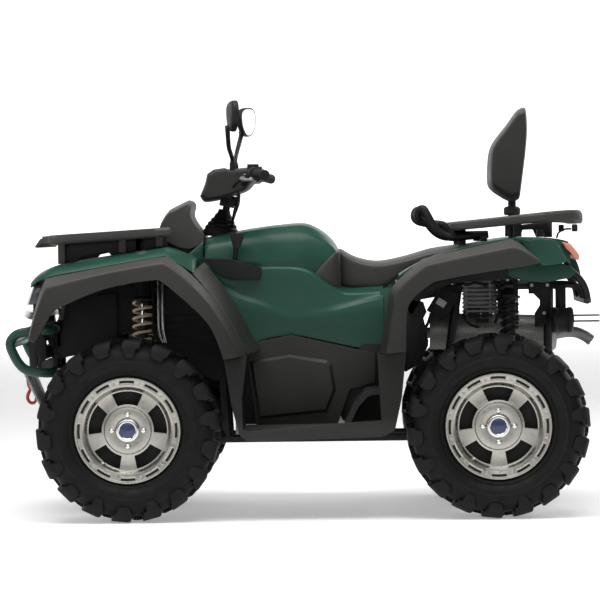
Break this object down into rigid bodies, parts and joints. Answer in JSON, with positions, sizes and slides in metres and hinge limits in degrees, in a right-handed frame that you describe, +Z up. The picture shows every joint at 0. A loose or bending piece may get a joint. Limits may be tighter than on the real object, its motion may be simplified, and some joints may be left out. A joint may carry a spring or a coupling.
{
  "type": "two-up utility quad bike",
  "caption": "Utility quad bike for two riders with racks front and rear, a backrest, low-pressure tyres and handlebar steering.",
  "frame": {"origin": "on the ground under the middle of the overall box", "axes": "+X forward, +Y to the rider's left, +Z up"},
  "size_m": [2.1318, 1.17, 1.4689],
  "materials": {
    "body_green": "semi-gloss dark green moulded plastic",
    "dark_plastic": "grained charcoal plastic",
    "black_plastic": "fine grained black plastic",
    "frame_paint": "satin black powder coat",
    "green_paint": "semi-gloss green powder coat",
    "alloy_wheel": "machined with clear coat",
    "tyre_rubber": "matt black rubber",
    "vinyl": "grained dark vinyl",
    "spring_paint": "beige gold enamel",
    "cast_alloy": "sand cast",
    "forged_steel": "black oxide",
    "steel": "brushed",
    "lamp_clear": "clear polycarbonate",
    "lamp_red": "red lens",
    "tow_red": "red enamel"
  },
  "bodies": {
    "chassis": {"frame": "frame_paint", "engine": "cast_alloy", "gearcases": "cast_alloy", "half_shafts": "forged_steel", "suspension_arms": "frame_paint", "dampers": "frame_paint", "coil_springs": "spring_paint", "rear_knuckles": "forged_steel", "front_body": "body_green", "front_flares": "dark_plastic", "rear_flares": "dark_plastic", "nose_grille": "black_plastic", "headlamps": "lamp_clear", "front_bumper": "green_paint", "skid_plate": "steel", "tow_hook": "tow_red", "dash_cover": "dark_plastic", "tank_cover": "body_green", "side_panels": "body_green", "front_liners": "black_plastic", "lower_covers": "dark_plastic", "footwells": "dark_plastic", "shift_gate": "black_plastic", "gear_lever": "black_plastic", "seat": "vinyl", "rear_body": "body_green", "tail_lamps": "lamp_red", "front_rack": "dark_plastic", "rear_rack": "dark_plastic", "grab_handles": "black_plastic", "backrest_pad": "vinyl", "backrest_post": "frame_paint", "rear_bar": "frame_paint", "drawbar": "frame_paint", "muffler": "steel", "regulator": "cast_alloy", "coil_box": "black_plastic"},
    "steering": {"steering_column": "frame_paint", "handlebar": "black_plastic", "handlebar_pod": "dark_plastic", "mirrors": "black_plastic"},
    "knuckle_left": {"front_knuckle_left": "forged_steel"},
    "knuckle_right": {"front_knuckle_right": "forged_steel"},
    "tie_rod_left": {"tie_rod_left": "forged_steel"},
    "tie_rod_right": {"tie_rod_right": "forged_steel"},
    "wheel_front_left": {"tyre_front_left": "tyre_rubber", "rim_front_left": "alloy_wheel"},
    "wheel_front_right": {"tyre_front_right": "tyre_rubber", "rim_front_right": "alloy_wheel"},
    "wheel_rear_left": {"tyre_rear_left": "tyre_rubber", "rim_rear_left": "alloy_wheel"},
    "wheel_rear_right": {"tyre_rear_right": "tyre_rubber", "rim_rear_right": "alloy_wheel"}
  },
  "joints": [
    {"name": "steering", "type": "hinge", "parent": "chassis", "child": "steering", "pos_m": [0.44154, 0, 0.34], "axis": [-0.2079, 0, 0.9781], "range_deg": [-37, 37]},
    {"name": "steer_left", "type": "hinge", "parent": "chassis", "child": "knuckle_left", "pos_m": [0.613, 0.41, 0.32], "axis": [0, 0, 1], "range_deg": [-30, 30]},
    {"name": "tie_left", "type": "hinge", "parent": "knuckle_left", "child": "tie_rod_left", "pos_m": [0.503, 0.394, 0.286], "axis": [0, 0, 1], "range_deg": [-34, 34]},
    {"name": "steer_right", "type": "hinge", "parent": "chassis", "child": "knuckle_right", "pos_m": [0.613, -0.41, 0.32], "axis": [0, 0, 1], "range_deg": [-30, 30]},
    {"name": "tie_right", "type": "hinge", "parent": "knuckle_right", "child": "tie_rod_right", "pos_m": [0.503, -0.394, 0.286], "axis": [0, 0, 1], "range_deg": [-34, 34]},
    {"name": "spin_front_left", "type": "hinge", "parent": "knuckle_left", "child": "wheel_front_left", "pos_m": [0.613, 0.47, 0.32], "axis": [0, 1, 0], "continuous": true},
    {"name": "spin_front_right", "type": "hinge", "parent": "knuckle_right", "child": "wheel_front_right", "pos_m": [0.613, -0.47, 0.32], "axis": [0, 1, 0], "continuous": true},
    {"name": "spin_rear_left", "type": "hinge", "parent": "chassis", "child": "wheel_rear_left", "pos_m": [-0.672, 0.44, 0.32], "axis": [0, 1, 0], "continuous": true},
    {"name": "spin_rear_right", "type": "hinge", "parent": "chassis", "child": "wheel_rear_right", "pos_m": [-0.672, -0.44, 0.32], "axis": [0, 1, 0], "continuous": true}
  ],
  "couplings": [
    {"joint": "steer_left", "follows": "steering", "ratio": 0.8},
    {"joint": "steer_right", "follows": "steering", "ratio": 0.8},
    {"joint": "tie_left", "follows": "steering", "ratio": -0.9},
    {"joint": "tie_right", "follows": "steering", "ratio": -0.9}
  ]
}
